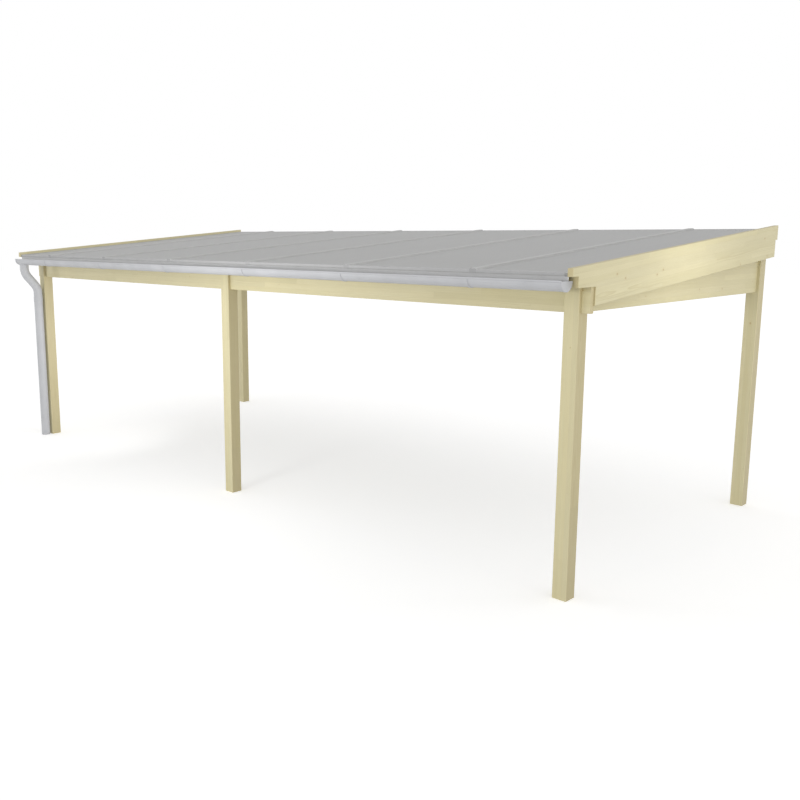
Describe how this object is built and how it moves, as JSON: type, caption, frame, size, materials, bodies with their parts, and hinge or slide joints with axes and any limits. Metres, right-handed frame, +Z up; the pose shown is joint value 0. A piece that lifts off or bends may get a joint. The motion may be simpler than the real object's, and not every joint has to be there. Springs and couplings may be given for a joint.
{
  "type": "timber veranda frame with a lean-to roof",
  "caption": "Free-standing timber veranda: forked posts carry beams and sloping rafters under a lean-to roof of opal sheets, with stepped side boards, a half-round gutter and a downpipe.",
  "frame": {"origin": "centre of the foot of the middle front post, on the floor", "axes": "+X along the front to the right, +Y from the low front to the high back, +Z up"},
  "size_m": [8.182, 3.7508, 2.7508],
  "materials": {
    "timber": "planed spruce glulam, unfinished",
    "roof_sheet": "opal multiwall sheet",
    "roof_profile": "mill aluminium",
    "rainwater_plastic": "smooth light grey"
  },
  "bodies": {
    "root": {"downpipe": "rainwater_plastic", "downpipe_neck": "rainwater_plastic", "drip_strip": "roof_profile", "edge_profile_left": "roof_profile", "edge_profile_right": "roof_profile", "front_beam_left": "timber", "front_beam_right": "timber", "front_closing_profiles": "roof_profile", "gable_panel_left": "timber", "gable_panel_right": "timber", "glazing_bar_1": "roof_profile", "glazing_bar_2": "roof_profile", "glazing_bar_3": "roof_profile", "glazing_bar_4": "roof_profile", "glazing_bar_5": "roof_profile", "glazing_bar_6": "roof_profile", "gutter": "rainwater_plastic", "gutter_brackets": "rainwater_plastic", "gutter_end_caps": "rainwater_plastic", "post_front_left": "timber", "post_front_middle": "timber", "post_front_right": "timber", "post_rear_left": "timber", "post_rear_right": "timber", "rafter_1": "timber", "rafter_2": "timber", "rafter_3": "timber", "rafter_4": "timber", "rafter_5": "timber", "rafter_6": "timber", "rear_beam": "timber", "rear_closing_profiles": "roof_profile", "roof_sheet_1": "roof_sheet", "roof_sheet_2": "roof_sheet", "roof_sheet_3": "roof_sheet", "roof_sheet_4": "roof_sheet", "roof_sheet_5": "roof_sheet", "roof_sheet_6": "roof_sheet", "roof_sheet_7": "roof_sheet", "side_beam_left": "timber", "side_beam_right": "timber", "side_board_left": "timber", "side_board_right": "timber", "side_rafter_left": "timber", "side_rafter_right": "timber"}
  },
  "joints": []
}
